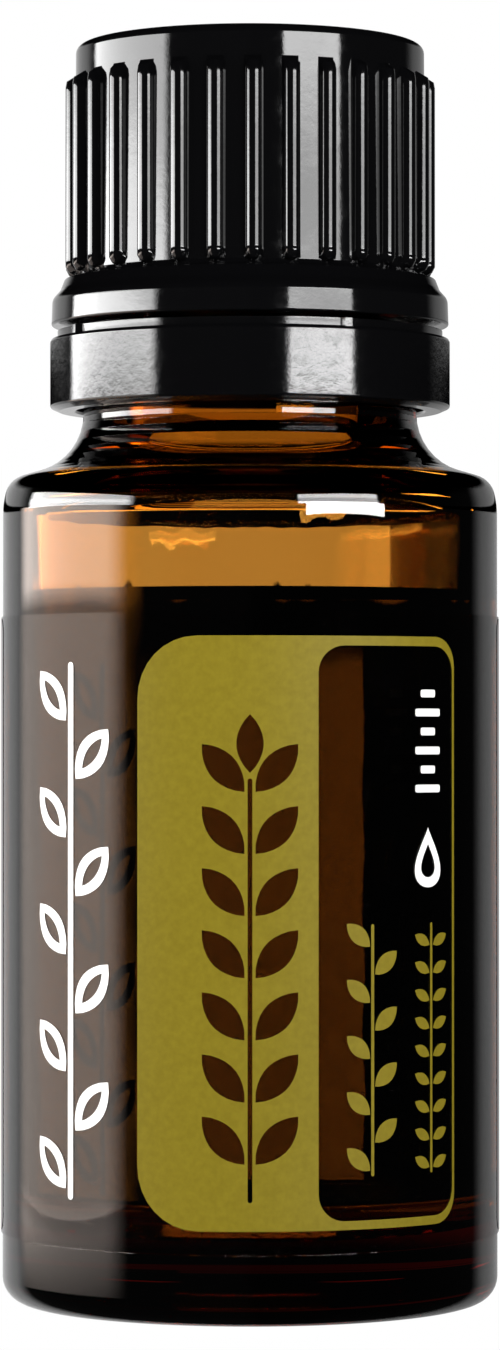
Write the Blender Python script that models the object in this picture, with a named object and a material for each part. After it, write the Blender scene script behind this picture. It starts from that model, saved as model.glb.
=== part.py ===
"""A 15 ml amber glass bottle for essential oil, closed by a black ribbed screw cap.

The bottle stands on the origin with its axis on Z. Azimuths are measured from -Y, the side that is
printed, and grow towards +X. Six pieces: the glass bottle, the oil, the dropper insert in the mouth,
the clear film label, the tamper band under the cap, and the cap on its thread.
"""

import math

import bpy

MM = 0.001
DEG = math.radians(1)

# Glass bottle
GLASS_R = 14.17 * MM
GLASS_SIDES = 48
HEEL_R = 1.45 * MM
BASE_RING_IN_R = 8.0 * MM
PUSH_UP = 1.4 * MM
INNER_R = 12.0 * MM
FLOOR_Z = 4.2 * MM
FLOOR_DOME = 1.0 * MM
FLOOR_CORNER_R = 1.8 * MM
SHOULDER_R = 1.67 * MM
SHOULDER_Z = 45.7 * MM
FLARE_R = 1.6 * MM
FLARE_Z = 49.45 * MM
SHOULDER_FALL = 17 * DEG
NECK_WAIST_R = 9.55 * MM
BEAD_R = 10.15 * MM
BEAD_LOW_Z = 52.5 * MM
BEAD_TOP_Z = 54.9 * MM
NECK_R = 8.05 * MM
BORE_R = 6.2 * MM
RIM_Z = 64.5 * MM
RIM_EDGE = 0.45 * MM
INNER_SHOULDER_R = 2.0 * MM
INNER_FLARE_R = 1.6 * MM
INNER_SHOULDER_Z = 45.6 * MM

# Screw thread, shared by the neck and the cap
PITCH = 3.0 * MM
THREAD_LOW_Z = 57.3 * MM
NECK_THREAD_R = 8.9 * MM
NECK_THREAD_TURNS = 1.6
CAP_THREAD_R = 8.35 * MM
CAP_THREAD_FROM_TURN = 0.25
CAP_THREAD_TURNS = 1.5
THREAD_STEPS_PER_TURN = 24
RUN_OUT_STEPS = 2

# Oil, dropper insert and label
GAP = 0.3 * MM
OIL_LEVEL_Z = 40.2 * MM
INSERT_FLANGE_R = 7.8 * MM
INSERT_FLANGE = 1.1 * MM
INSERT_FOOT_Z = 57.6 * MM
INSERT_WALL = 1.0 * MM
INSERT_PLATE = 0.9 * MM
NOZZLE_R = 3.4 * MM
NOZZLE_TOP_Z = 69.2 * MM
DROP_HOLE_R = 0.6 * MM
INSERT_SIDES = 32
LABEL_LOW_Z = 4.0 * MM
LABEL_TOP_Z = 39.1 * MM
LABEL_GAP = 0.03 * MM
LABEL_FILM = 0.08 * MM

# Tamper band
BAND_R = 11.47 * MM
BAND_LIP_R = 11.05 * MM
BAND_IN_R = 10.5 * MM
BAND_LOW_Z = 50.9 * MM
BAND_TOP_Z = 55.5 * MM
BAND_SIDES = 60
HOOK_R = 9.95 * MM
HOOK_TOP_Z = 52.3 * MM
BRIDGES = 4
BRIDGE_AZIMUTH = 29 * DEG
BRIDGE_WIDTH = 0.8 * MM

# Cap
CAP_R_TOP = 10.0 * MM
CAP_R_LOW = 10.1 * MM
CAP_TOP_Z = 71.9 * MM
CAP_EDGE_R = 0.45 * MM
CAP_LOW_Z = BAND_TOP_Z + GAP
CAP_IN_R = 9.35 * MM
CAP_CEILING_Z = 70.5 * MM
FLANGE_R = 11.4 * MM
FLANGE_FOOT_Z = 58.45 * MM
COLLAR_IN_R = 5.2 * MM
COLLAR_OUT_R = 6.4 * MM
CAP_SIDES = 60
RIBS = 30
RIB_AZIMUTH = 1.1 * DEG
RIB_R = 0.5 * MM
RIB_CENTRE_R = 10.14 * MM
RIB_LOW_Z = 58.7 * MM
RIB_TOP_Z = 70.0 * MM
RIB_SIDES = 8


def clear_scene():
    for obj in list(bpy.data.objects):
        bpy.data.objects.remove(obj)


def arc(centre_r, centre_z, radius, start, end, steps):
    """Points (r, z) on a circle, from the angle start to the angle end in degrees, both included."""
    angles = [(start + (end - start) * i / steps) * DEG for i in range(steps + 1)]
    return [(centre_r + radius * math.cos(a), centre_z + radius * math.sin(a)) for a in angles]


def plastic(name, colour, roughness, transmission=0.0):
    """A Principled material; transmission is for glass, oil and clear film."""
    material = bpy.data.materials.new(name)
    material.use_nodes = True
    shader = material.node_tree.nodes["Principled BSDF"]
    shader.inputs["Base Color"].default_value = (*colour, 1.0)
    shader.inputs["Roughness"].default_value = roughness
    shader.inputs["Metallic"].default_value = 0.0
    shader.inputs["Transmission Weight"].default_value = transmission
    return material


def mesh_object(name, points, faces, edges=()):
    mesh = bpy.data.meshes.new(name)
    mesh.from_pydata(points, edges, faces)
    obj = bpy.data.objects.new(name, mesh)
    bpy.context.collection.objects.link(obj)
    return obj


def turned(name, profile, sides, closed):
    """A profile of (r, z) points, running down its outer side, turned about Z."""
    points = [(r, 0.0, z) for r, z in profile]
    edges = [(i, i + 1) for i in range(len(points) - 1)]
    if closed:
        edges.append((len(points) - 1, 0))
    obj = mesh_object(name, points, [], edges)
    screw = obj.modifiers.new("Turn", "SCREW")
    screw.steps = sides
    screw.render_steps = sides
    screw.use_merge_vertices = True
    screw.merge_threshold = 0.00001
    return obj


def tube_mesh(rings):
    """Points and faces of a closed body from equal rings of points, its ends filled."""
    count = len(rings[0])
    points = [point for ring in rings for point in ring]
    faces = [tuple(range(count))[::-1]]
    for k in range(len(rings) - 1):
        low, high = k * count, (k + 1) * count
        faces += [
            (low + i, low + (i + 1) % count, high + (i + 1) % count, high + i) for i in range(count)
        ]
    last = (len(rings) - 1) * count
    faces.append(tuple(range(last, last + count)))
    return points, faces


def thread_ridge(name, root_r, crest_r, root_half, crest_half, from_turn, turns, low_z):
    """A right-handed ridge of four-cornered section that winds up the axis and runs out at both ends."""
    steps = round(turns * THREAD_STEPS_PER_TURN)
    rings = []
    for k in range(steps + 1):
        turn = from_turn + turns * k / steps
        angle = 2 * math.pi * turn
        z = low_z + PITCH * turn
        grown = min(1.0, (0.3 + min(k, steps - k)) / (0.3 + RUN_OUT_STEPS))
        crest = root_r + (crest_r - root_r) * grown
        section = [
            (root_r, z - root_half),
            (crest, z - crest_half),
            (crest, z + crest_half),
            (root_r, z + root_half),
        ]
        if crest_r < root_r:
            section.reverse()
        rings.append([(r * math.cos(angle), r * math.sin(angle), h) for r, h in section])
    return mesh_object(name, *tube_mesh(rings))


def join(obj, helper, name):
    """Unites a helper body with an object by a Boolean."""
    union = obj.modifiers.new(name, "BOOLEAN")
    union.operation = "UNION"
    union.solver = "EXACT"
    union.object = helper
    helper.hide_render = True
    helper.display_type = "WIRE"
    return helper


def settle(obj, material, helpers=()):
    """Applies an object's modifiers, removes its helpers, and gives it its material."""
    graph = bpy.context.evaluated_depsgraph_get()
    mesh = bpy.data.meshes.new_from_object(obj.evaluated_get(graph))
    obj.modifiers.clear()
    obj.data = mesh
    mesh.materials.clear()
    mesh.materials.append(material)
    mesh.shade_smooth()
    mesh.set_sharp_from_angle(angle=35 * DEG)
    for helper in helpers:
        bpy.data.objects.remove(helper)


def make_bottle():
    """Blown amber glass: domed floor, straight wall, tight shoulder, beaded neck with a thread."""
    inside = [(0.0, FLOOR_Z + FLOOR_DOME), (0.5 * INNER_R, FLOOR_Z + 0.7 * FLOOR_DOME)]
    corner_r = INNER_R - FLOOR_CORNER_R
    inside += arc(corner_r, FLOOR_Z + FLOOR_CORNER_R, FLOOR_CORNER_R, -90, 0, 4)
    turn_r = INNER_R - INNER_SHOULDER_R
    turn_z = INNER_SHOULDER_Z - INNER_SHOULDER_R
    inside += arc(turn_r, turn_z, INNER_SHOULDER_R, 0, 90, 4)
    flare_r = BORE_R + INNER_FLARE_R
    inside += arc(flare_r, INNER_SHOULDER_Z + INNER_FLARE_R, INNER_FLARE_R, 270, 180, 3)
    rim = [
        (BORE_R, RIM_Z - RIM_EDGE),
        (BORE_R + 0.5 * RIM_EDGE, RIM_Z),
        (NECK_R - RIM_EDGE, RIM_Z),
        (NECK_R, RIM_Z - RIM_EDGE),
    ]
    bead_flat = 0.4 * MM
    bead = [
        (NECK_R, BEAD_TOP_Z),
        (BEAD_R - 0.5 * MM, BEAD_TOP_Z - bead_flat),
        (BEAD_R, BEAD_TOP_Z - 2 * bead_flat),
        (BEAD_R, BEAD_LOW_Z + 1.7 * bead_flat),
        (BEAD_R - 0.25 * MM, BEAD_LOW_Z + 0.7 * bead_flat),
        (NECK_WAIST_R, BEAD_LOW_Z),
    ]
    fall = math.degrees(SHOULDER_FALL)
    flare = arc(NECK_WAIST_R + FLARE_R, FLARE_Z, FLARE_R, 180, 270 - fall, 4)
    shoulder = arc(GLASS_R - SHOULDER_R, SHOULDER_Z, SHOULDER_R, 90 - fall, 0, 5)
    heel = arc(GLASS_R - HEEL_R, HEEL_R, HEEL_R, 0, -90, 4)
    base = [
        (BASE_RING_IN_R, 0.0),
        (0.85 * BASE_RING_IN_R, 0.5 * PUSH_UP),
        (0.5 * BASE_RING_IN_R, 0.9 * PUSH_UP),
        (0.0, PUSH_UP),
    ]
    profile = inside + rim + bead + flare + shoulder + heel + base
    obj = turned("bottle", profile, GLASS_SIDES, closed=False)
    thread = thread_ridge(
        "neck_thread",
        root_r=NECK_R - 0.2 * MM,
        crest_r=NECK_THREAD_R,
        root_half=0.75 * MM,
        crest_half=0.35 * MM,
        from_turn=0.0,
        turns=NECK_THREAD_TURNS,
        low_z=THREAD_LOW_Z,
    )
    join(obj, thread, "Neck thread")
    amber = plastic("amber_glass", (0.20, 0.06, 0.01), 0.03, 1.0)
    settle(obj, amber, [thread])


def make_oil():
    """The filling, clear of the glass all round, with a flat top."""
    edge_r = INNER_R - GAP
    floor_z = FLOOR_Z + GAP
    profile = [(0.0, OIL_LEVEL_Z), (edge_r, OIL_LEVEL_Z)]
    profile += arc(INNER_R - FLOOR_CORNER_R, floor_z + FLOOR_CORNER_R - GAP, FLOOR_CORNER_R - GAP, 0, -90, 3)
    profile += [(0.5 * INNER_R, floor_z + 0.7 * FLOOR_DOME), (0.0, floor_z + FLOOR_DOME)]
    obj = turned("oil", profile, GLASS_SIDES, closed=False)
    settle(obj, plastic("essential_oil", (0.75, 0.55, 0.12), 0.02, 1.0))


def make_insert():
    """Moulded dropper insert: a plug in the bore, a flange on the rim, a nozzle with a drop hole."""
    flange_low = RIM_Z + GAP
    flange_top = flange_low + INSERT_FLANGE
    plug_r = BORE_R - GAP
    well_r = plug_r - INSERT_WALL
    profile = [
        (DROP_HOLE_R, NOZZLE_TOP_Z - 0.3 * MM),
        (DROP_HOLE_R + 0.5 * MM, NOZZLE_TOP_Z),
        (NOZZLE_R - 0.6 * MM, NOZZLE_TOP_Z),
        (NOZZLE_R, NOZZLE_TOP_Z - 0.6 * MM),
        (NOZZLE_R, flange_top),
        (INSERT_FLANGE_R - 0.2 * MM, flange_top),
        (INSERT_FLANGE_R, flange_top - 0.2 * MM),
        (INSERT_FLANGE_R, flange_low),
        (plug_r, flange_low),
        (plug_r, INSERT_FOOT_Z + 0.6 * MM),
        (plug_r - 0.3 * MM, INSERT_FOOT_Z),
        (well_r, INSERT_FOOT_Z),
        (well_r, flange_top - INSERT_PLATE),
        (DROP_HOLE_R, flange_top - INSERT_PLATE),
    ]
    obj = turned("dropper_insert", profile, INSERT_SIDES, closed=True)
    settle(obj, plastic("natural_polyethylene", (0.85, 0.86, 0.84), 0.35, 0.3))


def make_label():
    """Clear film wrapped once round the straight wall, its facets in line with the glass."""
    inner = GLASS_R + LABEL_GAP
    outer = inner + LABEL_FILM
    profile = [
        (outer, LABEL_TOP_Z),
        (outer, LABEL_LOW_Z),
        (inner, LABEL_LOW_Z),
        (inner, LABEL_TOP_Z),
    ]
    obj = turned("label", profile, GLASS_SIDES, closed=True)
    settle(obj, plastic("printed_film", (0.33, 0.28, 0.03), 0.45))


def make_tamper_band():
    """Break-off ring hooked under the neck's bead, with the bridges that tie it to the cap."""
    profile = [
        (BAND_LIP_R, BAND_TOP_Z),
        (BAND_LIP_R, BAND_TOP_Z - 0.4 * MM),
        (BAND_R, BAND_TOP_Z - 0.6 * MM),
        (BAND_R, BAND_LOW_Z + 0.7 * MM),
        (BAND_R - 0.3 * MM, BAND_LOW_Z + 0.3 * MM),
        (BAND_R - 1.2 * MM, BAND_LOW_Z),
        (HOOK_R, BAND_LOW_Z + 0.1 * MM),
        (HOOK_R, HOOK_TOP_Z),
        (BAND_IN_R, HOOK_TOP_Z + 0.65 * MM),
        (BAND_IN_R, BAND_TOP_Z),
    ]
    obj = turned("tamper_band", profile, BAND_SIDES, closed=True)
    low, high = BAND_TOP_Z - 1.0 * MM, BAND_TOP_Z
    near, far = BAND_LIP_R - 0.3 * MM, BAND_R - 0.09 * MM
    half = BRIDGE_WIDTH / 2
    helpers = []
    for k in range(BRIDGES):
        turn = BRIDGE_AZIMUTH + 2 * math.pi * k / BRIDGES
        out, side = (math.sin(turn), -math.cos(turn)), (math.cos(turn), math.sin(turn))
        rings = [
            [
                (r * out[0] + s * side[0], r * out[1] + s * side[1], z)
                for r, s in ((near, -half), (far, -half), (far, half), (near, half))
            ]
            for z in (low, high)
        ]
        bridge = mesh_object(f"bridge_{k}", *tube_mesh(rings))
        helpers.append(join(obj, bridge, f"Bridge {k}"))
    settle(obj, plastic("black_polypropylene_band", (0.012, 0.012, 0.014), 0.22), helpers)


def rib_points(azimuth):
    """Rings of one rib: a round bar with domed ends, standing half out of the cap's wall."""
    stations = [
        (RIB_LOW_Z, 0.25),
        (RIB_LOW_Z + 0.25 * RIB_R, 0.66),
        (RIB_LOW_Z + RIB_R, 1.0),
        (RIB_TOP_Z - RIB_R, 1.0),
        (RIB_TOP_Z - 0.25 * RIB_R, 0.66),
        (RIB_TOP_Z, 0.25),
    ]
    rings = []
    for z, share in stations:
        ring = []
        for k in range(RIB_SIDES):
            a = 2 * math.pi * (k + 0.5) / RIB_SIDES
            r = RIB_CENTRE_R + share * RIB_R * math.cos(a)
            s = share * RIB_R * math.sin(a)
            x = r * math.sin(azimuth) + s * math.cos(azimuth)
            y = -r * math.cos(azimuth) + s * math.sin(azimuth)
            ring.append((x, y, z))
        rings.append(ring)
    return rings


def make_cap():
    """Moulded screw cap: ribbed side, flared foot, inner thread and a sealing collar."""
    profile = [(0.0, CAP_TOP_Z)]
    edge_r = CAP_R_TOP - CAP_EDGE_R
    profile += arc(edge_r, CAP_TOP_Z - CAP_EDGE_R, CAP_EDGE_R, 90, 0, 3)
    profile += [
        (CAP_R_LOW, FLANGE_FOOT_Z + 0.45 * MM),
        (CAP_R_LOW + 0.55 * MM, FLANGE_FOOT_Z),
        (FLANGE_R - 0.46 * MM, FLANGE_FOOT_Z - 0.67 * MM),
        (FLANGE_R - 0.15 * MM, FLANGE_FOOT_Z - 1.05 * MM),
        (FLANGE_R, FLANGE_FOOT_Z - 1.7 * MM),
        (FLANGE_R, CAP_LOW_Z + 0.2 * MM),
        (FLANGE_R - 0.2 * MM, CAP_LOW_Z),
        (CAP_IN_R, CAP_LOW_Z),
        (CAP_IN_R, CAP_CEILING_Z - 0.6 * MM),
        (CAP_IN_R - 0.6 * MM, CAP_CEILING_Z),
        (COLLAR_OUT_R, CAP_CEILING_Z),
    ]
    collar_low = RIM_Z + GAP + INSERT_FLANGE + GAP
    profile += [
        (COLLAR_OUT_R, collar_low),
        (COLLAR_IN_R, collar_low),
        (COLLAR_IN_R, CAP_CEILING_Z),
        (0.0, CAP_CEILING_Z),
    ]
    obj = turned("cap", profile, CAP_SIDES, closed=False)
    points, faces = [], []
    for k in range(RIBS):
        own, sides = tube_mesh(rib_points(RIB_AZIMUTH + 2 * math.pi * k / RIBS))
        faces += [tuple(i + len(points) for i in face) for face in sides]
        points += own
    ribs = join(obj, mesh_object("ribs", points, faces), "Ribs")
    thread = thread_ridge(
        "cap_thread",
        root_r=CAP_IN_R + 0.2 * MM,
        crest_r=CAP_THREAD_R,
        root_half=0.6 * MM,
        crest_half=0.3 * MM,
        from_turn=CAP_THREAD_FROM_TURN,
        turns=CAP_THREAD_TURNS,
        low_z=THREAD_LOW_Z - PITCH / 2,
    )
    join(obj, thread, "Cap thread")
    settle(obj, plastic("black_polypropylene", (0.012, 0.012, 0.014), 0.18), [ribs, thread])


clear_scene()
make_bottle()
make_oil()
make_insert()
make_label()
make_tamper_band()
make_cap()
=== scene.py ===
import math

import bmesh
import bpy
import numpy as np
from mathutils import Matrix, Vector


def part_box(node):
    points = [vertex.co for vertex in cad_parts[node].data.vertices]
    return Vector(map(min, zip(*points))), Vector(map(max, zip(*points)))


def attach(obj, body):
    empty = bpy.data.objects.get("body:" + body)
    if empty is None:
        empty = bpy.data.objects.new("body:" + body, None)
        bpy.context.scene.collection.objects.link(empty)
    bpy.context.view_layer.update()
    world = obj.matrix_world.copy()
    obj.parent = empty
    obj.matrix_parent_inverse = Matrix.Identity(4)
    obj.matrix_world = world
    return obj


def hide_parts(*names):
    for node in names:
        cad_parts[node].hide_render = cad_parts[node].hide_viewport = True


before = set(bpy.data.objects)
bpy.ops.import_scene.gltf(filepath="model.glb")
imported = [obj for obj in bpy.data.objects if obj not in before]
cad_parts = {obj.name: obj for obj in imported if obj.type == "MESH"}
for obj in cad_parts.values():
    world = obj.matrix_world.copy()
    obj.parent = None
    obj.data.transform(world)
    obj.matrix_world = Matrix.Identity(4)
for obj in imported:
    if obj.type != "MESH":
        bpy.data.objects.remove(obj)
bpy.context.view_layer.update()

# Camera
# It stands level with the lower middle of the bottle, one long lens away, and looks up by
# less than a degree, as the photograph's curved edges show.
MM = 0.001
CAMERA_DISTANCE = 278 * MM
CAMERA_HEIGHT = 32.64 * MM
AIM_HEIGHT = 35.8 * MM
LENS, SENSOR = 129.1, 36.0
NEAREST = 10 * MM

camera_data = bpy.data.cameras.new("camera")
camera_data.lens = LENS
camera_data.sensor_width = SENSOR
camera_data.clip_start = NEAREST
camera = bpy.data.objects.new("camera", camera_data)
camera.location = (0.0, -CAMERA_DISTANCE, CAMERA_HEIGHT)
pitch = math.atan2(AIM_HEIGHT - CAMERA_HEIGHT, CAMERA_DISTANCE)
camera.rotation_euler = (math.pi / 2 + pitch, 0.0, 0.0)
bpy.context.scene.collection.objects.link(camera)
bpy.context.scene.camera = camera
bpy.context.scene.view_settings.view_transform = "Standard"

# Studio
# White to the eye, and mostly dark to what the bottle mirrors. On each side a softbox lights the
# black plastic and a low card the glass, and behind is a low white wall with a dark gap and a dark
# rail. A pair is where a tone starts and ends: on the wall in parts of a ray's direction.
DIM = 0.03
WALL_EDGE = (0.060, 0.068)
WALL_THROUGH = 1.08
RAIL_LOW, RAIL_TOP = (0.012, 0.018), (0.0268, 0.028)
GAP_LEFT = (math.radians(10.8) - 0.01, math.radians(10.8) + 0.01)
GAP_RIGHT = (math.radians(52.0) - 0.03, math.radians(52.0) + 0.03)
GAP_SHADE = 0.055
WALL_DEPTH = (0.55, 0.75)
WALL_SIDES = (-0.05, 0.05)
WALL_LEFT, WALL_RIGHT = 0.75, 0.4
NECK_LOW, NECK_TOP = (0.046, 0.052), (0.075, 0.085)
WALL_HEAD = (0.2, 0.3)
FLOOR_SIZE = 900 * MM
PAPER_Z = -0.05 * MM
# The floor's painted shade: where it starts and ends, in slopes of a ray's direction.
FLOOR_FAR, FLOOR_NEAR = (0.102, 0.107), (0.15, 0.3)
WHITE = (1.0, 1.0, 1.0)


def link(tree, source, target):
    tree.links.new(source, target)


def add(tree, kind, **settings):
    """A new node of that kind, with its settings."""
    node = tree.nodes.new(kind)
    for name, value in settings.items():
        setattr(node, name, value)
    return node


def calc(tree, operation, *values):
    """A Math node's result. Each value is a socket or a plain number."""
    node = add(tree, "ShaderNodeMath", operation=operation)
    for socket, value in zip(node.inputs, values):
        if isinstance(value, bpy.types.NodeSocket):
            link(tree, value, socket)
        else:
            socket.default_value = value
    return node.outputs[0]


def ramp(tree, value, low, high, bottom=0.0, top=1.0):
    """A smooth step from bottom to top, as the value goes from low to high."""
    node = add(tree, "ShaderNodeMapRange", interpolation_type="SMOOTHSTEP")
    link(tree, value, node.inputs["Value"])
    numbers = {"From Min": low, "From Max": high, "To Min": bottom, "To Max": top}
    for name, number in numbers.items():
        node.inputs[name].default_value = number
    return node.outputs["Result"]


def softbox(
    name, azimuth, distance, low, high, width, radiance, profile=(), edge=0.0, tint=WHITE, glossy=True
):
    """An upright rectangular lamp that faces the axis, in metres: azimuth in degrees from -Y
    towards +X, from its foot's height to its head's. An area lamp's radiance is its power over
    pi times its area, and the profile scales it from foot, 0, to head, 1. Each side fades out
    over the edge's share of the width."""
    lamp = bpy.data.lights.new(name, "AREA")
    lamp.shape = "RECTANGLE"
    lamp.size, lamp.size_y = width, high - low
    lamp.energy = radiance * math.pi * width * (high - low)
    lamp.color = tint
    if profile:
        lamp.use_nodes = True
        tree = lamp.node_tree
        place = add(tree, "ShaderNodeNewGeometry")
        split = add(tree, "ShaderNodeSeparateXYZ")
        shades = add(tree, "ShaderNodeValToRGB")
        while len(shades.color_ramp.elements) < len(profile):
            shades.color_ramp.elements.new(0.5)
        for element, (position, share) in zip(shades.color_ramp.elements, profile):
            element.position = position
            element.color = (share, share, share, 1.0)
        link(tree, place.outputs["Parametric"], split.inputs[0])
        link(tree, split.outputs["Y"], shades.inputs["Fac"])
        off = calc(tree, "ABSOLUTE", calc(tree, "SUBTRACT", split.outputs["X"], 0.5))
        inwards = calc(tree, "SUBTRACT", 0.5, off)
        level = calc(tree, "MULTIPLY", shades.outputs["Color"], ramp(tree, inwards, 0.0, edge))
        link(tree, level, tree.nodes["Emission"].inputs["Strength"])
    a = math.radians(azimuth)
    obj = bpy.data.objects.new(name, lamp)
    obj.location = (distance * math.sin(a), -distance * math.cos(a), (low + high) / 2)
    obj.rotation_euler = (math.pi / 2, 0.0, a)
    obj.visible_camera = False
    obj.visible_glossy = glossy
    bpy.context.scene.collection.objects.link(obj)


CARD_PROFILE = ((0.0, 0.0), (0.1, 0.36), (0.14, 0.2), (0.84, 0.23), (0.87, 1.0), (1.0, 1.0))
LEFT_PROFILE = ((0.0, 0.68), (0.16, 0.72), (0.26, 1.0), (0.47, 0.95), (0.58, 0.6))
RIGHT_PROFILE = ((0.0, 1.0), (0.15, 1.0), (0.18, 0.36), (0.47, 0.3), (0.68, 0.55))
softbox(
    "left_card",
    azimuth=-89.0,
    distance=0.065,
    low=-0.007,
    high=0.050,
    width=0.098,
    radiance=6.0,
    profile=CARD_PROFILE,
    edge=0.2,
    tint=(1.0, 0.87, 0.79),
)
softbox(
    "left_softbox",
    azimuth=-89.0,
    distance=0.4,
    low=0.0772,
    high=0.155,
    width=0.58,
    radiance=17.5,
    profile=LEFT_PROFILE,
    edge=0.1,
)
softbox(
    "right_card", azimuth=40.5, distance=0.065, low=0.0468, high=0.050, width=0.041, radiance=26.0
)
softbox(
    "right_softbox",
    azimuth=41.0,
    distance=0.4,
    low=0.0772,
    high=0.155,
    width=0.29,
    radiance=26.0,
    profile=RIGHT_PROFILE,
    edge=0.04,
)
for name, azimuth, radiance in (("front_fill", 0.0, 10.0), ("back_fill", 180.0, 6.0)):
    softbox(name, azimuth, distance=0.5, low=0.25, high=0.55, width=0.6, radiance=radiance, glossy=False)

world = bpy.data.worlds.new("studio")
bpy.context.scene.world = world
world.use_nodes = True
tree = world.node_tree
tree.nodes.clear()
path = add(tree, "ShaderNodeLightPath")
coordinates = add(tree, "ShaderNodeTexCoord")
split = add(tree, "ShaderNodeSeparateXYZ")
link(tree, coordinates.outputs["Generated"], split.inputs[0])
x, y, z = split.outputs
low_wall = ramp(tree, calc(tree, "ABSOLUTE", z), *WALL_EDGE, WALL_THROUGH, 0.0)
rail = calc(tree, "MAXIMUM", ramp(tree, z, *RAIL_LOW, 1.0, 0.0), ramp(tree, z, *RAIL_TOP))
turn = calc(tree, "ARCTAN2", x, y)
before, after = ramp(tree, turn, *GAP_LEFT, 1.0, GAP_SHADE), ramp(tree, turn, *GAP_RIGHT)
wall = calc(tree, "MULTIPLY", low_wall, calc(tree, "MAXIMUM", before, after))
wall = calc(tree, "MULTIPLY", wall, rail)
straight = calc(tree, "LESS_THAN", path.outputs["Glossy Depth"], 0.5)
passed = calc(tree, "MULTIPLY", path.outputs["Is Transmission Ray"], straight)
through = calc(tree, "MULTIPLY", wall, passed)
outside = calc(tree, "SUBTRACT", 1.0, path.outputs["Is Transmission Ray"])
side = ramp(tree, x, *WALL_SIDES, WALL_LEFT, WALL_RIGHT)
behind = calc(tree, "MULTIPLY", ramp(tree, y, *WALL_DEPTH, DIM, 1.0), outside)
behind = calc(tree, "MULTIPLY", behind, side)
below_neck = ramp(tree, z, *NECK_LOW, 1.0, 0.0)
above_neck = calc(tree, "MULTIPLY", ramp(tree, z, *NECK_TOP), ramp(tree, z, *WALL_HEAD, 1.0, 0.0))
behind = calc(tree, "MULTIPLY", behind, calc(tree, "MAXIMUM", below_neck, above_neck))
mirrored = calc(tree, "MAXIMUM", behind, through)
level = calc(tree, "MAXIMUM", path.outputs["Is Camera Ray"], mirrored)
background = add(tree, "ShaderNodeBackground")
output = add(tree, "ShaderNodeOutputWorld")
link(tree, level, background.inputs["Color"])
link(tree, background.outputs[0], output.inputs["Surface"])

# White paper that glows evenly instead of being lit by the lamps. To every ray but the camera's it is
# dark once the ray has been mirrored, and dark at slopes of about 0.11 to 0.15, fading back by 0.3:
# painted shade, which the glass shows at the bottle's base.
floor_mesh = bpy.data.meshes.new("floor")
half = FLOOR_SIZE / 2
corners = [(-half, -half, PAPER_Z), (half, -half, PAPER_Z)]
corners += [(half, half, PAPER_Z), (-half, half, PAPER_Z)]
floor_mesh.from_pydata(corners, [], [(0, 1, 2, 3)])
floor = bpy.data.objects.new("floor", floor_mesh)
bpy.context.scene.collection.objects.link(floor)
paper = bpy.data.materials.new("paper_with_painted_shade")
paper.use_nodes = True
tree = paper.node_tree
tree.nodes.clear()
path = add(tree, "ShaderNodeLightPath")
glow = add(tree, "ShaderNodeEmission")
output = add(tree, "ShaderNodeOutputMaterial")
place = add(tree, "ShaderNodeNewGeometry")
split = add(tree, "ShaderNodeSeparateXYZ")
link(tree, place.outputs["Incoming"], split.inputs[0])
slope = calc(tree, "ABSOLUTE", split.outputs["Z"])
far, near = ramp(tree, slope, *FLOOR_FAR, 1.0, 0.0), ramp(tree, slope, *FLOOR_NEAR)
straight = calc(tree, "LESS_THAN", path.outputs["Glossy Depth"], 0.5)
lit = calc(tree, "MAXIMUM", path.outputs["Is Camera Ray"], calc(tree, "MAXIMUM", far, near))
link(tree, calc(tree, "MULTIPLY", straight, lit), glow.inputs["Strength"])
link(tree, glow.outputs[0], output.inputs["Surface"])
floor_mesh.materials.append(paper)
floor.visible_glossy = False


# Amber glass bottle
# Blown in a mould from brown glass: a thick domed floor, an even wall, a tight shoulder, and a
# neck with a bead for the tamper band and one right-handed thread for the cap.
GLASS_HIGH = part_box("bottle")[1]
GLASS_R = GLASS_HIGH[0]
RIM_Z = GLASS_HIGH[2]
HEEL_R = 1.45 * MM
BASE_RING_IN_R = 8.0 * MM
PUSH_UP = 1.4 * MM
INNER_R = 12.0 * MM
FLOOR_Z = 4.2 * MM
FLOOR_DOME = 1.0 * MM
INNER_SHOULDER_Z, INNER_NECK_Z = 45.85 * MM, 46.3 * MM
SHOULDER_Z, SHOULDER_TOP_Z = 45.6 * MM, 46.95 * MM
WAIST_R, WAIST_Z = 9.55 * MM, 48.2 * MM
BEAD_R = 10.15 * MM
BEAD_LOW_Z, BEAD_TOP_Z = 52.5 * MM, 54.9 * MM
BORE_R = 6.2 * MM
NECK_R = 8.05 * MM
PITCH = 3.0 * MM
THREAD_LOW_Z = 57.3 * MM
THREAD_R = 8.9 * MM
THREAD_TURNS = 1.6
THREAD_HALF = 0.75 * MM
GLASS_COLUMNS = 360
THIN_STRIPES = ((211.0, 9.0, 0.3 * MM), (137.0, 8.0, 0.25 * MM))
RIPPLE = 0.005 * MM
UNEVEN_REACH = 0.6 * MM
GUARD, GUARDED = 0.03 * MM, 0.4 * MM


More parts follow.
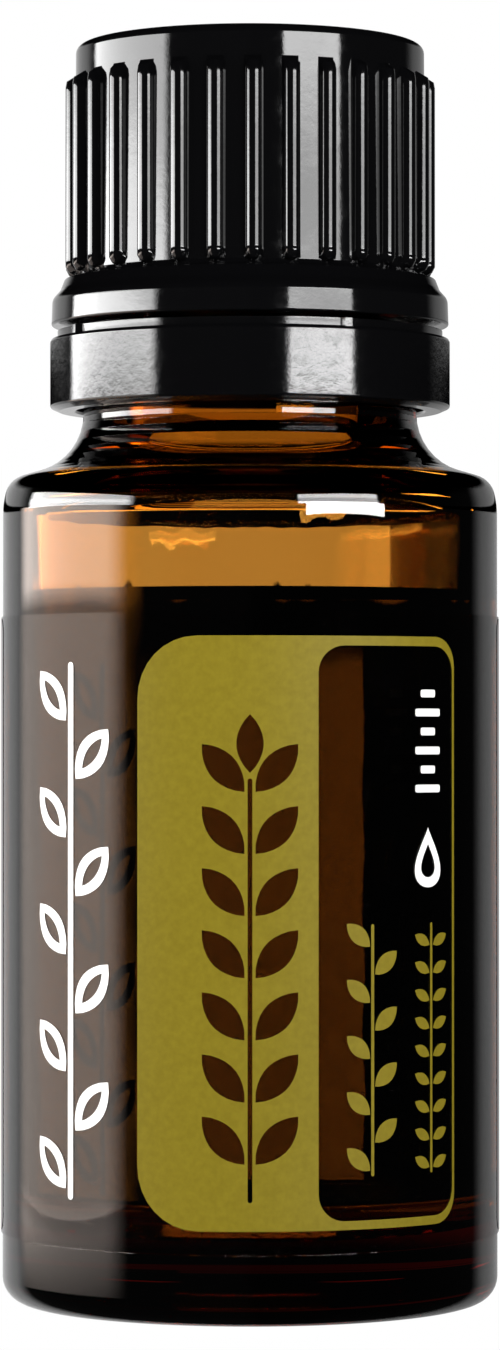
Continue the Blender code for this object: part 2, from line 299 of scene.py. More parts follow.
def rounded(corners, steps=5, longest=None):
    """A profile through (r, z, fillet) corners: each corner is cut back by the fillet's tangent
    length, and an arc of that radius, tangent to both sides, takes its place. A straight run is
    divided evenly by the longest length, a number or a function of the run's middle. A divided
    run, and a long one that stays whole, gets one more point close to each end, which guards
    its shading from the bend's."""
    points = []
    flat = np.array([corner[:2] for corner in corners], float)
    for k, (_, _, fillet) in enumerate(corners):
        here = flat[k]
        if not fillet or k in (0, len(corners) - 1):
            points.append(here)
            continue
        back, on = flat[k - 1] - here, flat[k + 1] - here
        back, on = back / np.linalg.norm(back), on / np.linalg.norm(on)
        half = 0.5 * math.acos(np.clip(back @ on, -1.0, 1.0))
        middle = (back + on) / np.linalg.norm(back + on)
        centre = here + middle * fillet / math.sin(half)
        first = here + back * fillet / math.tan(half) - centre
        last = here + on * fillet / math.tan(half) - centre
        sweep = math.pi - 2 * half
        for t in np.linspace(0, 1, steps + 1):
            blend = np.sin((1 - t) * sweep) * first + np.sin(t * sweep) * last
            points.append(centre + blend / math.sin(sweep))
    points = np.array(points)
    if longest is None:
        return points
    dense = [points[:1]]
    for a, b in zip(points[:-1], points[1:]):
        length = np.linalg.norm(b - a)
        part = longest(*(a + b) / 2) if callable(longest) else longest
        count = max(1, math.ceil(length / part))
        cuts = np.arange(1, count + 1) / count
        if count > 1 or (math.isinf(part) and length > GUARDED):
            cuts = np.sort(np.append(cuts, [GUARD / length, 1 - GUARD / length]))
        dense.append(a + (b - a) * cuts[:, None])
    return np.concatenate(dense)


def azimuths(columns):
    """Evenly spaced angles once round, from -Y towards +X."""
    return 2 * np.pi * np.arange(columns) / columns


def turned(name, radius, height, loop=False, sharp=40):
    """The surface x = r sin a, y = -r cos a, z = h over the azimuths a, one row for each profile
    point, r and h given for each row and column. Rows run down the outer side."""
    rows, columns = np.broadcast(radius, height).shape
    angle = azimuths(columns)
    radius, height = np.broadcast_to(radius, (rows, columns)), np.broadcast_to(height, (rows, columns))
    points = np.stack([radius * np.sin(angle), -radius * np.cos(angle), height], axis=-1)
    index = np.arange(rows * columns).reshape(rows, columns)
    if loop:
        index = np.concatenate([index, index[:1]])
    below, right = index[1:], np.roll(index, -1, axis=1)
    faces = np.stack([index[:-1], below, right[1:], right[:-1]], axis=-1).reshape(-1, 4)
    mesh = bpy.data.meshes.new(name)
    mesh.from_pydata(points.reshape(-1, 3), [], faces)
    shape = bmesh.new()
    shape.from_mesh(mesh)
    bmesh.ops.remove_doubles(shape, verts=shape.verts, dist=1e-8)
    shape.to_mesh(mesh)
    shape.free()
    mesh.shade_smooth()
    mesh.set_sharp_from_angle(angle=math.radians(sharp))
    obj = bpy.data.objects.new(name, mesh)
    bpy.context.scene.collection.objects.link(obj)
    return obj


def thread_height(angle, height, low_z, from_turn, turns, half):
    """0 to 1: how far a thread stands out. Its crest follows z = low + pitch * turn, counted from
    +X, its flanks fall off over the half width, and it runs out over a twelfth of a turn at each
    end."""
    turn = angle / (2 * np.pi) - 0.25
    nearest = np.round((height - low_z) / PITCH - turn)
    along = turn + nearest
    off = np.abs(height - low_z - PITCH * along)
    flank = np.clip((half - off) / (0.55 * half), 0, 1)
    ends = np.clip(12 * np.minimum(along - from_turn, from_turn + turns - along), 0, 1)
    return flank * flank * (3 - 2 * flank) * ends


def uneven(angle, height):
    """How far the inner wall lies outwards: thin stripes where the glass was blown thinner, each
    depth * exp(-((a - middle) / width) ** 2), and a fine ripple, a product of sines."""
    out = 0 * angle + 0 * height
    for middle, width, depth in THIN_STRIPES:
        off = (angle - math.radians(middle) + np.pi) % (2 * np.pi) - np.pi
        out = out + depth * np.exp(-((off / math.radians(width)) ** 2))
    wave = np.sin(9 * angle + 700 * height) * np.sin(23 * angle - 300 * height + 1.0)
    wave = wave + 0.6 * np.sin(41 * angle + 900 * height + 4 * np.sin(5 * angle))
    return out + RIPPLE * wave


def shader(name, **values):
    """A material with one Principled BSDF, its plain values set on its own sockets."""
    material = bpy.data.materials.new(name)
    material.use_nodes = True
    principled = material.node_tree.nodes["Principled BSDF"]
    for key, value in values.items():
        principled.inputs[key.replace("_", " ")].default_value = value
    return material, material.node_tree, principled


def see_through(tree, clearness, density):
    """Colours a clear piece by what its inside takes from the light on its way."""
    absorption = add(tree, "ShaderNodeVolumeAbsorption")
    absorption.inputs["Color"].default_value = (*clearness, 1.0)
    absorption.inputs["Density"].default_value = density
    link(tree, absorption.outputs[0], tree.nodes["Material Output"].inputs["Volume"])


def glass_rows(r, z):
    """The longest row of the glass: short on the threaded neck, longer on the uneven inner wall,
    and a plain straight run is one row."""
    if abs(r - NECK_R) < GUARD and z > BEAD_TOP_Z:
        return 0.4 * MM
    return 1.1 * MM if abs(r - INNER_R) < GUARD else math.inf


glass_profile = rounded(
    [
        (0.0, FLOOR_Z + FLOOR_DOME, 0),
        (0.5 * INNER_R, FLOOR_Z + 0.75 * FLOOR_DOME, 6.0 * MM),
        (INNER_R, FLOOR_Z, 2.2 * MM),
        (INNER_R, INNER_SHOULDER_Z, 1.2 * MM),
        (BORE_R, INNER_NECK_Z, 1.8 * MM),
        (BORE_R, RIM_Z, 0.4 * MM),
        (NECK_R, RIM_Z, 0.5 * MM),
        (NECK_R, BEAD_TOP_Z, 0.2 * MM),
        (BEAD_R - 0.45 * MM, BEAD_TOP_Z - 0.4 * MM, 0.3 * MM),
        (BEAD_R, BEAD_TOP_Z - 0.9 * MM, 0.4 * MM),
        (BEAD_R, BEAD_LOW_Z + 0.5 * MM, 0.4 * MM),
        (WAIST_R, BEAD_LOW_Z, 0.2 * MM),
        (WAIST_R, WAIST_Z, 3.5 * MM),
        (GLASS_R - 0.35 * MM, SHOULDER_TOP_Z, 1.3 * MM),
        (GLASS_R, SHOULDER_Z, 5.0 * MM),
        (GLASS_R, 0.0, HEEL_R),
        (BASE_RING_IN_R, 0.0, 0.4 * MM),
        (0.6 * BASE_RING_IN_R + 0.2 * MM, PUSH_UP - 0.2 * MM, 2.0 * MM),
        (0.0, PUSH_UP, 0),
    ],
    steps=8,
    longest=glass_rows,
)
glass_r, glass_z = glass_profile[:, :1], glass_profile[:, 1:]
glass_turn = azimuths(GLASS_COLUMNS)
on_neck = (glass_z > BEAD_TOP_Z + 0.3 * MM) & (glass_z < RIM_Z - 0.6 * MM) & (glass_r > 7.9 * MM)
ridge = thread_height(glass_turn, glass_z, THREAD_LOW_Z, 0.0, THREAD_TURNS, THREAD_HALF)
glass_r = glass_r + on_neck * ridge * (THREAD_R - NECK_R)
on_inner_wall = np.abs(glass_r - INNER_R) < UNEVEN_REACH
on_inner_wall = on_inner_wall & (glass_z > FLOOR_Z) & (glass_z < INNER_NECK_Z)
glass_r = glass_r + on_inner_wall * uneven(glass_turn, glass_z)
bottle = turned("bottle_glass", glass_r, glass_z)
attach(bottle, "glass")
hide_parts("bottle")

GLASS_CLEARNESS = (0.82, 0.63, 0.18)
GLASS_DENSITY = 1000.0

amber, tree, principled = shader(
    "amber_glass",
    Base_Color=(1.0, 0.97, 0.92, 1.0),
    Roughness=0.0,
    IOR=1.52,
    Transmission_Weight=1.0,
)
coordinates = add(tree, "ShaderNodeTexCoord")
waves = add(tree, "ShaderNodeTexNoise")
waves.inputs["Scale"].default_value = 90.0
waves.inputs["Detail"].default_value = 1.0
ripple = add(tree, "ShaderNodeBump")
ripple.inputs["Strength"].default_value = 0.02
ripple.inputs["Distance"].default_value = 0.0002
link(tree, coordinates.outputs["Object"], waves.inputs["Vector"])
link(tree, waves.outputs["Fac"], ripple.inputs["Height"])
link(tree, ripple.outputs["Normal"], principled.inputs["Normal"])
see_through(tree, GLASS_CLEARNESS, GLASS_DENSITY)
bottle.data.materials.append(amber)


# Oil
# The filling, pale yellow by itself. It wets the glass, so it climbs a little at the wall, and
# its skin lies just inside the glass so that light passes straight from one to the other.
OIL_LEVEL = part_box("oil")[1][2]
WETS_IN = 0.02 * MM
MENISCUS = 0.35 * MM
OIL_CLEARNESS = (0.3, 0.15, 0.02)
OIL_DENSITY = 130.0

oil_edge = INNER_R + WETS_IN
oil_profile = rounded(
    [
        (0.0, OIL_LEVEL, 0),
        (oil_edge - 1.4 * MM, OIL_LEVEL, 2.0 * MM),
        (oil_edge, OIL_LEVEL + MENISCUS, 0),
        (oil_edge, FLOOR_Z - WETS_IN, 2.2 * MM),
        (0.5 * INNER_R, FLOOR_Z + 0.75 * FLOOR_DOME - WETS_IN, 6.0 * MM),
        (0.0, FLOOR_Z + FLOOR_DOME - WETS_IN, 0),
    ],
    steps=8,
    longest=0.4 * MM,
)
oil_r, oil_z = oil_profile[:, :1], oil_profile[:, 1:]
wetted = oil_r > INNER_R - UNEVEN_REACH
oil = turned("oil_filling", oil_r + wetted * uneven(glass_turn, oil_z), oil_z)
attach(oil, "glass")
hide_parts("oil")

liquid, tree, principled = shader(
    "essential_oil",
    Base_Color=(1.0, 1.0, 1.0, 1.0),
    Roughness=0.0,
    IOR=1.47,
    Transmission_Weight=1.0,
)
see_through(tree, OIL_CLEARNESS, OIL_DENSITY)
oil.data.materials.append(liquid)


# Dropper insert
# One moulding of natural polyethylene, pressed into the mouth: a plug, a flange on the rim and a
# nozzle with a fine hole that lets the oil out by drops.
INSERT_LOW, INSERT_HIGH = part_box("dropper_insert")
INSERT_R, NOZZLE_TOP_Z = INSERT_HIGH[0], INSERT_HIGH[2]
NOZZLE_R = 3.4 * MM
FLANGE_LOW_Z, FLANGE_TOP_Z = RIM_Z + 0.3 * MM, RIM_Z + 1.4 * MM
PLUG_R = BORE_R - 0.3 * MM
WELL_R = PLUG_R - 1.0 * MM
PLATE_Z = RIM_Z + 0.5 * MM
DROP_HOLE_R = 0.6 * MM
INSERT_COLUMNS = 96

insert_profile = rounded(
    [
        (DROP_HOLE_R, PLATE_Z, 0),
        (DROP_HOLE_R, NOZZLE_TOP_Z - 0.3 * MM, 0),
        (2 * DROP_HOLE_R, NOZZLE_TOP_Z, 0.2 * MM),
        (NOZZLE_R, NOZZLE_TOP_Z, 0.5 * MM),
        (NOZZLE_R, FLANGE_TOP_Z, 0.4 * MM),
        (INSERT_R, FLANGE_TOP_Z, 0.2 * MM),
        (INSERT_R, FLANGE_LOW_Z, 0.1 * MM),
        (PLUG_R, FLANGE_LOW_Z, 0.1 * MM),
        (PLUG_R, INSERT_LOW[2], 0.5 * MM),
        (WELL_R, INSERT_LOW[2], 0.2 * MM),
        (WELL_R, PLATE_Z, 0.4 * MM),
        (DROP_HOLE_R, PLATE_Z, 0),
    ],
    steps=4,
)[:-1]
insert = turned(
    "dropper_insert_moulding",
    insert_profile[:, :1] + 0 * azimuths(INSERT_COLUMNS),
    insert_profile[:, 1:],
    loop=True,
)
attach(insert, "glass")
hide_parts("dropper_insert")
milky, *_ = shader(
    "natural_polyethylene",
    Base_Color=(0.8, 0.81, 0.78, 1.0),
    Roughness=0.35,
    Subsurface_Weight=0.4,
    Subsurface_Scale=0.001,
)
insert.data.materials.append(milky)


# Label
# Clear film wrapped once round the straight wall and glued to it, with screen print on it: a matte
# olive panel that has a window, and a sprig left clear in the panel.
LABEL_LOW, LABEL_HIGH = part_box("label")
FILM_R = LABEL_HIGH[0] - 0.03 * MM
FILM_IN_R = GLASS_R - 0.01 * MM
FILM_COLUMNS = 240

film_profile = rounded(
    [
        (FILM_R, LABEL_HIGH[2], 0.02 * MM),
        (FILM_R, LABEL_LOW[2], 0.02 * MM),
        (FILM_IN_R, LABEL_LOW[2], 0),
        (FILM_IN_R, LABEL_HIGH[2], 0),
    ],
    steps=2,
    longest=1.5 * MM,
)
film = turned(
    "label_film", film_profile[:, :1] + 0 * azimuths(FILM_COLUMNS), film_profile[:, 1:], loop=True
)
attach(film, "glass")
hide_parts("label")
clear, tree, principled = shader(
    "clear_film",
    Base_Color=(1.0, 1.0, 1.0, 1.0),
    Roughness=0.02,
    IOR=1.45,
    Transmission_Weight=1.0,
)
coordinates = add(tree, "ShaderNodeTexCoord")
peel = add(tree, "ShaderNodeTexNoise")
peel.inputs["Scale"].default_value = 700.0
peel.inputs["Detail"].default_value = 2.0
dimple = add(tree, "ShaderNodeBump")
dimple.inputs["Strength"].default_value = 0.02
dimple.inputs["Distance"].default_value = 0.0001
link(tree, coordinates.outputs["Object"], peel.inputs["Vector"])
link(tree, peel.outputs["Fac"], dimple.inputs["Height"])
link(tree, dimple.outputs["Normal"], principled.inputs["Normal"])
film.data.materials.append(clear)

PRINT_R = FILM_R + 0.005 * MM
INK = 0.02 * MM
PANEL_FROM, PANEL_TO = math.radians(-25.6), math.radians(52.6)
PANEL_LOW, PANEL_TOP = 5.33 * MM, 37.8 * MM
WINDOW_FROM, WINDOW_TO = math.radians(15.2), math.radians(51.9)
WINDOW_LOW, WINDOW_TOP = 5.81 * MM, 37.27 * MM
SLICE = 0.35 * MM


def box_outline(left, right, low, top, corners, steps=8):
    """A rectangle's outline, its corners rounded by a radius each: lower left, lower right,
    upper right, upper left. Each corner is a quarter circle."""
    places = [(left, low, 1, 1), (right, low, -1, 1), (right, top, -1, -1), (left, top, 1, -1)]
    starts = (180, 270, 0, 90)
    points = []
    for (x, z, sx, sz), start, r in zip(places, starts, corners):
        a = np.radians(start + np.linspace(0, 90, steps + 1))
        points.append(np.stack([x + sx * r + r * np.cos(a), z + sz * r + r * np.sin(a)], axis=1))
    return np.concatenate(points)


def leaf_outline(x, z, length, width, lean, steps=9):
    """A pointed leaf from its root at (x, z): half width = width / 2 * sin(pi t) ** 0.8 along its
    length t, turned by the lean angle from straight up, to the right."""
    t = np.linspace(0, 1, steps + 1)
    half = 0.5 * width * np.sin(np.pi * t) ** 0.8
    along = np.concatenate([t, t[-2:0:-1]]) * length
    across = np.concatenate([half, -half[-2:0:-1]])
    c, s = math.cos(lean), math.sin(lean)
    return np.stack([x + across * c + along * s, z - across * s + along * c], axis=1)


def stem_outline(x, low, top, width):
    """A straight stem with round ends."""
    return box_outline(x - width / 2, x + width / 2, low, top, (0.499 * width,) * 4)


def drop_outline(x, z, width, height, steps=28):
    """A drop about (x, z): x = 0.65 width sin t sin(t / 2) ** 1.5, z = height / 2 cos t."""
    t = 2 * np.pi * np.arange(steps) / steps
    half = 0.65 * width * np.sin(t) * np.sin(t / 2) ** 1.5
    return np.stack([x + half, z + 0.5 * height * np.cos(t)], axis=1)


def printed(name, outlines, radius, depth):
    """Ink on the round wall: flat outlines (arc length, height), holes where they nest, filled,
    cut into narrow upright slices and bent by x = r sin(s / r), y = -r cos(s / r)."""
    curve = bpy.data.curves.new(name, "CURVE")
    curve.dimensions = "2D"
    curve.fill_mode = "BOTH"
    for outline in outlines:
        spline = curve.splines.new("POLY")
        spline.points.add(len(outline) - 1)
        flat = np.zeros((len(outline), 4))
        flat[:, :2] = outline
        flat[:, 3] = 1.0
        spline.points.foreach_set("co", flat.ravel())
        spline.use_cyclic_u = True
    drawn = bpy.data.objects.new(name, curve)
    bpy.context.scene.collection.objects.link(drawn)
    graph = bpy.context.evaluated_depsgraph_get()
    shape = bmesh.new()
    mesh = bpy.data.meshes.new_from_object(drawn.evaluated_get(graph))
    shape.from_mesh(mesh)
    bpy.data.objects.remove(drawn)
    bmesh.ops.remove_doubles(shape, verts=shape.verts, dist=1e-7)
    across = [v.co.x for v in shape.verts]
    for cut in np.arange(min(across) + SLICE, max(across), SLICE):
        parts = [*shape.verts, *shape.edges, *shape.faces]
        bmesh.ops.bisect_plane(shape, geom=parts, plane_co=(cut, 0, 0), plane_no=(1, 0, 0))
    bmesh.ops.recalc_face_normals(shape, faces=shape.faces)
    shape.to_mesh(mesh)
    shape.free()
    flat = np.empty(len(mesh.vertices) * 3)
    mesh.vertices.foreach_get("co", flat)
    flat = flat.reshape(-1, 3)
    turn = flat[:, 0] / radius
    bent = np.stack([radius * np.sin(turn), -radius * np.cos(turn), flat[:, 1]], axis=1)
    mesh.vertices.foreach_set("co", bent.ravel())
    mesh.update()
    middle = mesh.polygons[0].center
    normal = mesh.polygons[0].normal
    if normal.x * middle.x + normal.y * middle.y < 0:
        mesh.flip_normals()
    obj = bpy.data.objects.new(name, mesh)
    bpy.context.scene.collection.objects.link(obj)
    ink = obj.modifiers.new("Ink", "SOLIDIFY")
    ink.thickness = depth
    ink.offset = 1.0
    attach(obj, "glass")
    return obj


def arc_length(angle):
    return angle * PRINT_R


olive_outlines = [
    box_outline(
        arc_length(PANEL_FROM),
        arc_length(PANEL_TO),
        PANEL_LOW,
        PANEL_TOP,
        (3.45 * MM, 1.65 * MM, 1.65 * MM, 3.45 * MM),
    ),
    box_outline(
        arc_length(WINDOW_FROM),
        arc_length(WINDOW_TO),
        WINDOW_LOW,
        WINDOW_TOP,
        (1.5 * MM,) * 4,
    ),
]
SPRIG_LOW, SPRIG_TOP = 7.8 * MM, 33.5 * MM
SPRIG_PAIRS = 7
SPRIG_STEM = 0.26 * MM
SPRIG_LEAF, SPRIG_TIP = (3.5 * MM, 1.6 * MM), (3.2 * MM, 1.5 * MM)
SPRIG_LEAN = math.radians(42)
for k in range(SPRIG_PAIRS):
    z = SPRIG_LOW + (SPRIG_TOP - SPRIG_LOW) * (k + 0.35) / (SPRIG_PAIRS + 0.6)
    for side in (-1, 1):
        olive_outlines.append(leaf_outline(side * 0.3 * MM, z, *SPRIG_LEAF, side * SPRIG_LEAN))
olive_outlines.append(leaf_outline(0.0, SPRIG_TOP - SPRIG_TIP[0], *SPRIG_TIP, 0.0))
olive_outlines.append(stem_outline(0.0, SPRIG_LOW - 0.9 * MM, SPRIG_TOP - 3.5 * MM, SPRIG_STEM))
panel = printed("label_olive_panel", olive_outlines, PRINT_R, INK)

olive, tree, principled = shader("olive_ink", Roughness=0.5, Specular_IOR_Level=0.15)
coordinates = add(tree, "ShaderNodeTexCoord")
grain = add(tree, "ShaderNodeTexNoise")
grain.inputs["Scale"].default_value = 2500.0
grain.inputs["Detail"].default_value = 2.0
tones = add(tree, "ShaderNodeValToRGB")
tones.color_ramp.elements[0].position = 0.3
tones.color_ramp.elements[1].position = 0.7
tones.color_ramp.elements[0].color = (0.132, 0.101, 0.005, 1.0)
tones.color_ramp.elements[1].color = (0.153, 0.119, 0.007, 1.0)
link(tree, coordinates.outputs["Object"], grain.inputs["Vector"])
link(tree, grain.outputs["Fac"], tones.inputs["Fac"])
link(tree, tones.outputs["Color"], principled.inputs["Base Color"])
panel.data.materials.append(olive)

VINE_LOW, VINE_TOP = 8.2 * MM, 22.0 * MM
VINE_AT, SPRAY_AT = arc_length(math.radians(28.1)), arc_length(math.radians(44.6))
VINE_STEM, SPRAY_STEM = 0.18 * MM, 0.16 * MM
VINE_LEAVES = 9
VINE_LEAF, SPRAY_LEAF = (1.9 * MM, 0.95 * MM), (1.25 * MM, 0.62 * MM)
VINE_LEAN, SPRAY_LEAN = math.radians(48), math.radians(62)
mark_outlines = [
    stem_outline(VINE_AT, VINE_LOW, VINE_TOP, VINE_STEM),
    stem_outline(SPRAY_AT, VINE_LOW, VINE_TOP, SPRAY_STEM),
]
for k in range(VINE_LEAVES):
    z = VINE_LOW + (VINE_TOP - VINE_LOW) * (k + 0.2) / VINE_LEAVES
    side = 1 if k % 2 else -1
    place = VINE_AT + side * 0.16 * MM
    mark_outlines.append(leaf_outline(place, z, *VINE_LEAF, side * VINE_LEAN))
    for side in (-1, 1):
        place = SPRAY_AT + side * 0.14 * MM
        mark_outlines.append(leaf_outline(place, z, *SPRAY_LEAF, side * SPRAY_LEAN, steps=6))
olive_marks = printed("label_olive_marks", mark_outlines, PRINT_R, INK)
olive_marks.data.materials.append(olive)

# Back print
# The back half of the film is black, with one narrow upright strip left clear down its
# middle, so that light falls through the oil from behind. The black is painted shade: it blocks
# the light from behind so that the oil looks dark from the front.
BACK_LOW, BACK_TOP = LABEL_LOW[2] + 0.15 * MM, LABEL_HIGH[2] - 0.1 * MM
BACK_FROM, STRIP_FROM = math.radians(80.0), math.radians(169.4)
STRIP_LOW, STRIP_TOP = 5.4 * MM, 38.1 * MM

# Black for painted shade, which darkens the oil seen from the front.
dark, *_ = shader("painted_shade_black", Roughness=0.08, Base_Color=(0.012, 0.01, 0.009, 1.0))
back_sides = (arc_length(BACK_FROM), arc_length(2 * math.pi - BACK_FROM))
strip_sides = (arc_length(STRIP_FROM), arc_length(2 * math.pi - STRIP_FROM))
back_outlines = [
    box_outline(*back_sides, BACK_LOW, BACK_TOP, (1.0 * MM,) * 4),
    box_outline(*strip_sides, STRIP_LOW, STRIP_TOP, (0.6 * MM,) * 4),
]
back = printed("label_back", back_outlines, PRINT_R, INK)
back.data.materials.append(dark)

# White print
# White ink on the clear film: a twig with leaves by turns on either side, beside the panel, and a
# drop with a row of bars above it in the window.
TWIG_FROM, TWIG_TO = math.radians(-54.7), math.radians(-33.4)
TWIG_LOW, TWIG_TOP = 7.3 * MM, 36.4 * MM
TWIG_STEM = 0.4 * MM
TWIG_LEAVES = 9
TWIG_LEAF, LEAF_EYE = (3.6 * MM, 1.9 * MM), (2.2 * MM, 0.75 * MM)
TWIG_LEAN = math.radians(40)
EYE_AT = 0.75 * MM

twig_middle = arc_length(0.5 * (TWIG_FROM + TWIG_TO))
twig_outlines = [stem_outline(twig_middle, TWIG_LOW - 0.6 * MM, TWIG_TOP, TWIG_STEM)]
for k in range(TWIG_LEAVES):
    z = TWIG_LOW + (TWIG_TOP - TWIG_LOW) * k / TWIG_LEAVES
    side = 1 if k % 2 else -1
    lean = side * TWIG_LEAN
    root = twig_middle + side * 0.4 * MM
    twig_outlines.append(leaf_outline(root, z, *TWIG_LEAF, lean))
    eye = (root + EYE_AT * math.sin(lean), z + EYE_AT * math.cos(lean))
    twig_outlines.append(leaf_outline(*eye, *LEAF_EYE, lean))
white_twig = printed("label_white_twig", twig_outlines, PRINT_R, INK)
white, *_ = shader("white_ink", Roughness=0.5, Base_Color=(0.8, 0.8, 0.78, 1.0))
white_twig.data.materials.append(white)

DROP_AT = arc_length(math.radians(43.6))
DROP_Z = 25.6 * MM
DROP, DROP_HOLLOW = (2.2 * MM, 3.3 * MM), (1.2 * MM, 1.9 * MM)
BARS, BAR_LOW, BAR_STEP = 6, 29.2 * MM, 1.05 * MM
BAR_REACH, BAR_WIDTH = (0.95 * MM, 0.55 * MM), 0.42 * MM
drop_outlines = [
    drop_outline(DROP_AT, DROP_Z, *DROP),
    drop_outline(DROP_AT, DROP_Z - 0.15 * MM, *DROP_HOLLOW),
]
for k in range(BARS):
    low, reach = BAR_LOW + k * BAR_STEP, BAR_REACH[k % 2]
    sides = (DROP_AT - reach, DROP_AT + reach)
    drop_outlines.append(box_outline(*sides, low, low + BAR_WIDTH, (0.1 * MM,) * 4, steps=3))
white_drop = printed("label_white_drop", drop_outlines, PRINT_R, INK)
white_drop.data.materials.append(white)


# Tamper band
# A black polypropylene ring, hooked under the neck's bead. Four small bridges tie it to the cap
# until it is opened.
BAND_LOW, BAND_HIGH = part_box("tamper_band")
BAND_R = BAND_HIGH[0]
LIP_R = 11.05 * MM
BAND_IN_R = 10.5 * MM
HOOK_R = 9.95 * MM
HOOK_TOP_Z = 52.3 * MM
BRIDGES = 4
BRIDGE_AZIMUTH = math.radians(29)
BRIDGE_HALF = 0.4 * MM
BAND_COLUMNS = 480

band_profile = rounded(
    [
        (LIP_R, BAND_HIGH[2], 0.06 * MM),
        (LIP_R, BAND_HIGH[2] - 0.45 * MM, 0.04 * MM),
        (BAND_R - 0.08 * MM, BAND_HIGH[2] - 0.47 * MM, 0.08 * MM),
        (BAND_R, BAND_HIGH[2] - 0.62 * MM, 0.08 * MM),
        (BAND_R, BAND_LOW[2] + 0.22 * MM, 0.15 * MM),
        (BAND_R - 0.5 * MM, BAND_LOW[2], 0.2 * MM),
        (HOOK_R, BAND_LOW[2], 0.15 * MM),
        (HOOK_R, HOOK_TOP_Z, 0.1 * MM),
        (BAND_IN_R, HOOK_TOP_Z + 0.65 * MM, 0.2 * MM),
        (BAND_IN_R, BAND_HIGH[2], 0.1 * MM),
        (LIP_R, BAND_HIGH[2], 0),
    ],
    steps=5,
    longest=0.5 * MM,
)[:-1]
band_r, band_z = band_profile[:, :1], band_profile[:, 1:]
band_turn = azimuths(BAND_COLUMNS)
step = 2 * np.pi / BRIDGES
off = np.abs((band_turn - BRIDGE_AZIMUTH + step / 2) % step - step / 2) * BAND_R
bridge = np.clip((BRIDGE_HALF - off) / (0.25 * BRIDGE_HALF), 0, 1)
in_notch = (band_r > LIP_R - 0.15 * MM) & (band_z > BAND_HIGH[2] - 0.5 * MM)
grown = in_notch * bridge * np.clip(BAND_R - 0.1 * MM - band_r, 0, None)
band = turned("tamper_band_ring", band_r + grown, band_z + 0 * band_turn, loop=True)
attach(band, "band")
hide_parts("tamper_band")


def moulding_marks():
    """Shader group for moulded plastic: fine scuffs and soft patches.
    Inputs: Vector, Scale, Gloss, Scuff. Outputs: Roughness, Height."""
    group = bpy.data.node_groups.new("moulding_marks", "ShaderNodeTree")
    group.interface.new_socket("Vector", in_out="INPUT", socket_type="NodeSocketVector")
    for name in ("Scale", "Gloss", "Scuff"):
        group.interface.new_socket(name, in_out="INPUT", socket_type="NodeSocketFloat")
    for name in ("Roughness", "Height"):
        group.interface.new_socket(name, in_out="OUTPUT", socket_type="NodeSocketFloat")
    given = add(group, "NodeGroupInput")
    result = add(group, "NodeGroupOutput")
    patches = add(group, "ShaderNodeTexNoise")
    patches.inputs["Detail"].default_value = 5.0
    patches.inputs["Roughness"].default_value = 0.65
    worn = add(group, "ShaderNodeMapRange")
    worn.inputs["From Min"].default_value = 0.5
    worn.inputs["From Max"].default_value = 0.75
    amount = add(group, "ShaderNodeMath", operation="MULTIPLY")
    total = add(group, "ShaderNodeMath", operation="ADD")
    link(group, given.outputs["Vector"], patches.inputs["Vector"])
    link(group, given.outputs["Scale"], patches.inputs["Scale"])
    link(group, patches.outputs["Fac"], worn.inputs["Value"])
    link(group, worn.outputs["Result"], amount.inputs[0])
    link(group, given.outputs["Scuff"], amount.inputs[1])
    link(group, amount.outputs[0], total.inputs[0])
    link(group, given.outputs["Gloss"], total.inputs[1])
    link(group, total.outputs[0], result.inputs["Roughness"])
    link(group, patches.outputs["Fac"], result.inputs["Height"])
    return group


marks = moulding_marks()


def black_plastic(name, gloss, scuff, scale):
    """Glossy black polypropylene: its gloss is the least roughness, the scuff is what the marks
    add to it, and the scale is how fine they are."""
    material, tree, principled = shader(name, Base_Color=(0.0015, 0.0015, 0.0017, 1.0), IOR=1.49)
    coordinates = add(tree, "ShaderNodeTexCoord")
    moulding = add(tree, "ShaderNodeGroup", node_tree=marks)
    moulding.inputs["Scale"].default_value = scale
    moulding.inputs["Gloss"].default_value = gloss
    moulding.inputs["Scuff"].default_value = scuff
    bump = add(tree, "ShaderNodeBump")
    bump.inputs["Strength"].default_value = 0.12
    bump.inputs["Distance"].default_value = 0.00005
    link(tree, coordinates.outputs["Object"], moulding.inputs["Vector"])
    link(tree, moulding.outputs["Roughness"], principled.inputs["Roughness"])
    link(tree, moulding.outputs["Height"], bump.inputs["Height"])
    link(tree, bump.outputs["Normal"], principled.inputs["Normal"])
    return material


band.data.materials.append(black_plastic("band_plastic", gloss=0.08, scuff=0.06, scale=1800.0))


# Screw cap
# One black polypropylene moulding: a smooth rim, thirty round ribs for grip, a flared foot, and
# inside it the thread and a sealing collar that presses on the insert.
CAP_LOW, CAP_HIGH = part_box("cap")
CAP_TOP_Z, CAP_LOW_Z = CAP_HIGH[2], CAP_LOW[2]
FLANGE_R = 11.4 * MM
CAP_R = 10.0 * MM
CAP_IN_R = 9.35 * MM
CEILING_Z = CAP_TOP_Z - 1.4 * MM
FOOT_Z = 58.45 * MM
RIBS = 30
RIB_AZIMUTH = math.radians(1.1)
RIB_R = 0.5 * MM
RIB_CENTRE_R = 10.14 * MM
RIB_LOW_Z, RIB_TOP_Z = 58.7 * MM, 70.0 * MM
CAP_COLUMNS = 20 * RIBS
COLLAR_IN_R, COLLAR_OUT_R = 5.2 * MM, 6.4 * MM
COLLAR_Z = RIM_Z + 1.7 * MM
CAP_THREAD_Z = THREAD_LOW_Z - PITCH / 2
CAP_THREAD_FROM, CAP_THREAD_TURNS = 0.25, 1.5
CAP_THREAD_HALF, CAP_THREAD_DEPTH = 0.6 * MM, 1.0 * MM


def cap_rows(r, z):
    """The longest row of the cap: short on the ribbed side, a little longer on the threaded one,
    and a plain straight run is one row."""
    if CAP_R - 0.05 * MM < r < CAP_R + 0.1 * MM and z > FOOT_Z:
        return 0.35 * MM
    return 0.45 * MM if abs(r - CAP_IN_R) < GUARD else math.inf


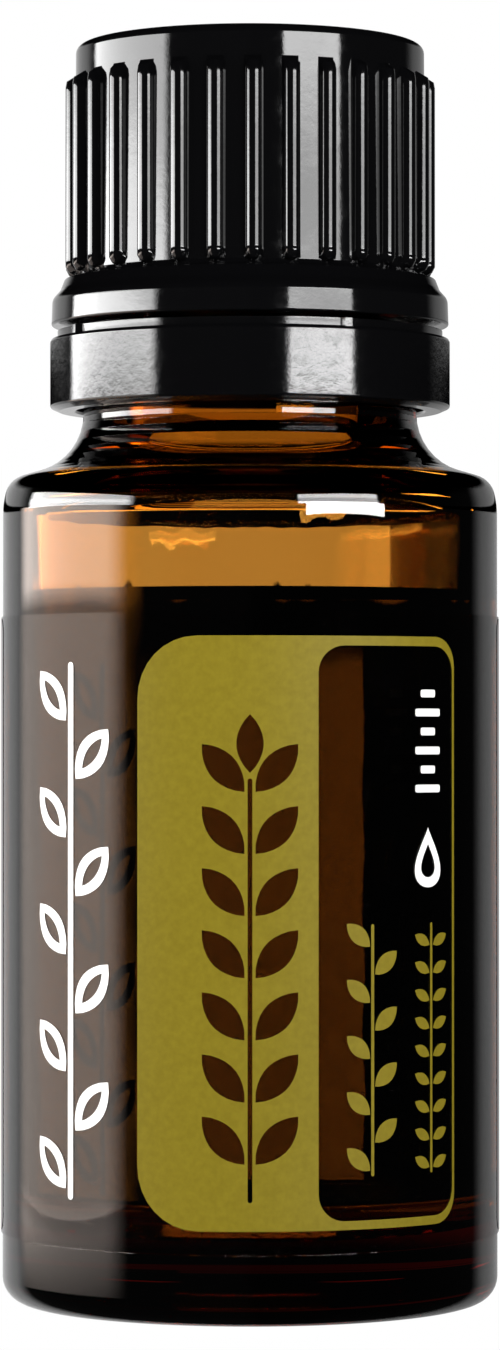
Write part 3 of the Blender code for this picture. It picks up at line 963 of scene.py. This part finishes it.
cap_profile = rounded(
    [
        (0.0, CAP_TOP_Z, 0),
        (CAP_R, CAP_TOP_Z, 0.45 * MM),
        (CAP_R + 0.08 * MM, FOOT_Z + 0.1 * MM, 0.3 * MM),
        (FLANGE_R - 0.75 * MM, FOOT_Z, 0.15 * MM),
        (FLANGE_R - 0.5 * MM, FOOT_Z - 0.65 * MM, 0.5 * MM),
        (FLANGE_R - 0.05 * MM, FOOT_Z - 1.15 * MM, 0.6 * MM),
        (FLANGE_R, CAP_LOW_Z, 0.12 * MM),
        (CAP_IN_R, CAP_LOW_Z, 0.1 * MM),
        (CAP_IN_R, CEILING_Z, 0.5 * MM),
        (COLLAR_OUT_R, CEILING_Z, 0.2 * MM),
        (COLLAR_OUT_R, COLLAR_Z, 0.1 * MM),
        (COLLAR_IN_R, COLLAR_Z, 0.1 * MM),
        (COLLAR_IN_R, CEILING_Z, 0.2 * MM),
        (0.0, CEILING_Z, 0),
    ],
    steps=5,
    longest=cap_rows,
)
cap_r, cap_z = cap_profile[:, :1], cap_profile[:, 1:]
cap_turn = azimuths(CAP_COLUMNS)
step = 2 * np.pi / RIBS
across = ((cap_turn - RIB_AZIMUTH + step / 2) % step - step / 2) * RIB_CENTRE_R
past = np.clip(np.maximum(cap_z - (RIB_TOP_Z - RIB_R), RIB_LOW_Z + RIB_R - cap_z), 0, None)
bar = RIB_CENTRE_R + np.sqrt(np.clip(RIB_R**2 - across**2 - past**2, 0, None))
inside_bar = across**2 + past**2 < RIB_R**2
outer_wall = (cap_r > CAP_R - 0.05 * MM) & (cap_z > FOOT_Z) & (cap_z < CAP_TOP_Z - 0.5 * MM)
ribbed = np.where(outer_wall & inside_bar, np.maximum(cap_r, bar), cap_r + 0 * cap_turn)
inner_wall = (np.abs(cap_r - CAP_IN_R) < 0.01 * MM) & (cap_z > CAP_LOW_Z + 0.3 * MM)
thread = thread_height(
    cap_turn, cap_z, CAP_THREAD_Z, CAP_THREAD_FROM, CAP_THREAD_TURNS, CAP_THREAD_HALF
)
ribbed = ribbed - inner_wall * thread * CAP_THREAD_DEPTH
cap = turned("screw_cap", ribbed, cap_z + 0 * cap_turn)
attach(cap, "cap")
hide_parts("cap")
cap.data.materials.append(black_plastic("cap_plastic", gloss=0.06, scuff=0.08, scale=900.0))
